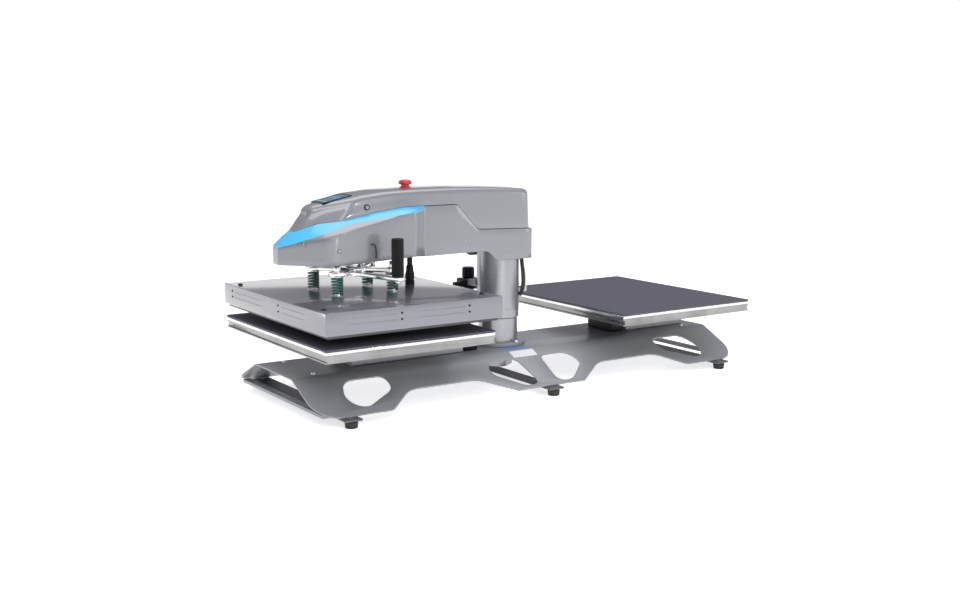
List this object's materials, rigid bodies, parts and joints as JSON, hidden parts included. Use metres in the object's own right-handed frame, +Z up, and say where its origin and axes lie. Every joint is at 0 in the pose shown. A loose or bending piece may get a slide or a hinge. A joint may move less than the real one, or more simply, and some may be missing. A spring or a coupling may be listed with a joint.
{
  "type": "heat press",
  "caption": "Pneumatic swing-head heat press: a heated platen under an arm turns on a column between two padded lower platens on a folded-sheet base.",
  "frame": {"origin": "on the floor under the column, at the centre of the footprint", "axes": "+X along the base to the right-hand station, +Y away from the operator, +Z up"},
  "size_m": [1.156, 0.51, 0.4785],
  "materials": {
    "base_paint": "satin grey powder coat",
    "grey_paint": "satin grey paint",
    "silver_paint": "semi-gloss silver-grey paint",
    "plain_steel": "machined steel",
    "satin_steel": "satin ground steel",
    "chrome": "bright plated",
    "polished_alloy": "polished",
    "satin_alloy": "satin anodised",
    "coated_alloy": "dark non-stick coat",
    "bronze": "sintered bearing bronze",
    "silicone": "fine matt silicone foam",
    "black_rubber": "matt",
    "blue_trim": "gloss blue",
    "black_plastic": "matt moulded",
    "white_plastic": "translucent white",
    "red_plastic": "gloss red",
    "spring_green": "green enamelled spring wire",
    "display_glass": "dark glossy window"
  },
  "bodies": {
    "stand": {"base_frame": "base_paint", "cross_bar_left": "grey_paint", "cross_bar_centre": "grey_paint", "cross_bar_right": "grey_paint", "foot_left_front": "black_rubber", "foot_left_rear": "black_rubber", "foot_centre_front": "black_rubber", "foot_centre_rear": "black_rubber", "foot_right_front": "black_rubber", "foot_right_rear": "black_rubber", "pedestal_left": "grey_paint", "clamp_block_left": "black_plastic", "lower_platen_left": "polished_alloy", "pad_left": "silicone", "pedestal_right": "grey_paint", "clamp_block_right": "black_plastic", "lower_platen_right": "polished_alloy", "pad_right": "silicone", "column_flange": "plain_steel", "column_post": "satin_steel", "column_nut": "plain_steel", "power_gland": "black_plastic"},
    "swing_head": {"swing_sleeve": "satin_steel", "bushing_lower": "bronze", "bushing_upper": "bronze", "head_frame": "grey_paint", "air_cylinder": "satin_alloy", "guide_bush": "bronze", "lower_cover": "silver_paint", "upper_cover": "silver_paint", "accent_stripe": "blue_trim", "display_bezel": "black_plastic", "display_screen": "display_glass", "estop_collar": "black_plastic", "conduit_hose": "black_rubber", "air_elbow": "white_plastic", "air_tube": "white_plastic", "regulator_bracket": "grey_paint", "regulator_body": "black_plastic", "regulator_bowl": "display_glass"},
    "press": {"piston_rod": "chrome", "rod_nut": "chrome", "guide_rod": "chrome", "press_plate": "polished_alloy", "spring_front_left": "spring_green", "spring_rear_left": "spring_green", "spring_front_right": "spring_green", "spring_rear_right": "spring_green", "spring_bolt_front_left": "chrome", "spring_bolt_rear_left": "chrome", "spring_bolt_front_right": "chrome", "spring_bolt_rear_right": "chrome", "heat_housing": "silver_paint", "heating_plate": "coated_alloy", "handle_bar": "polished_alloy", "handle_grip": "black_plastic", "cable_gland": "black_plastic", "heater_cable": "black_rubber"},
    "stop_button": {"estop_button": "red_plastic"},
    "regulator_dial": {"regulator_knob": "black_plastic"}
  },
  "joints": [
    {"name": "head_swing", "type": "hinge", "parent": "stand", "child": "swing_head", "pos_m": [0, 0, 0.2], "axis": [0, 0, 1], "range_deg": [0, 180]},
    {"name": "press_stroke", "type": "slide", "parent": "swing_head", "child": "press", "axis": [0, 0, -1], "range_m": [0, 0.0192]},
    {"name": "estop_press", "type": "slide", "parent": "swing_head", "child": "stop_button", "axis": [0, 0, -1], "range_m": [0, 0.004], "stiffness_N_per_m": 600, "springref_m": -0.002},
    {"name": "regulator_turn", "type": "hinge", "parent": "swing_head", "child": "regulator_dial", "pos_m": [-0.018, 0.1, 0.24], "axis": [0, 0, 1], "range_deg": [0, 300]}
  ]
}
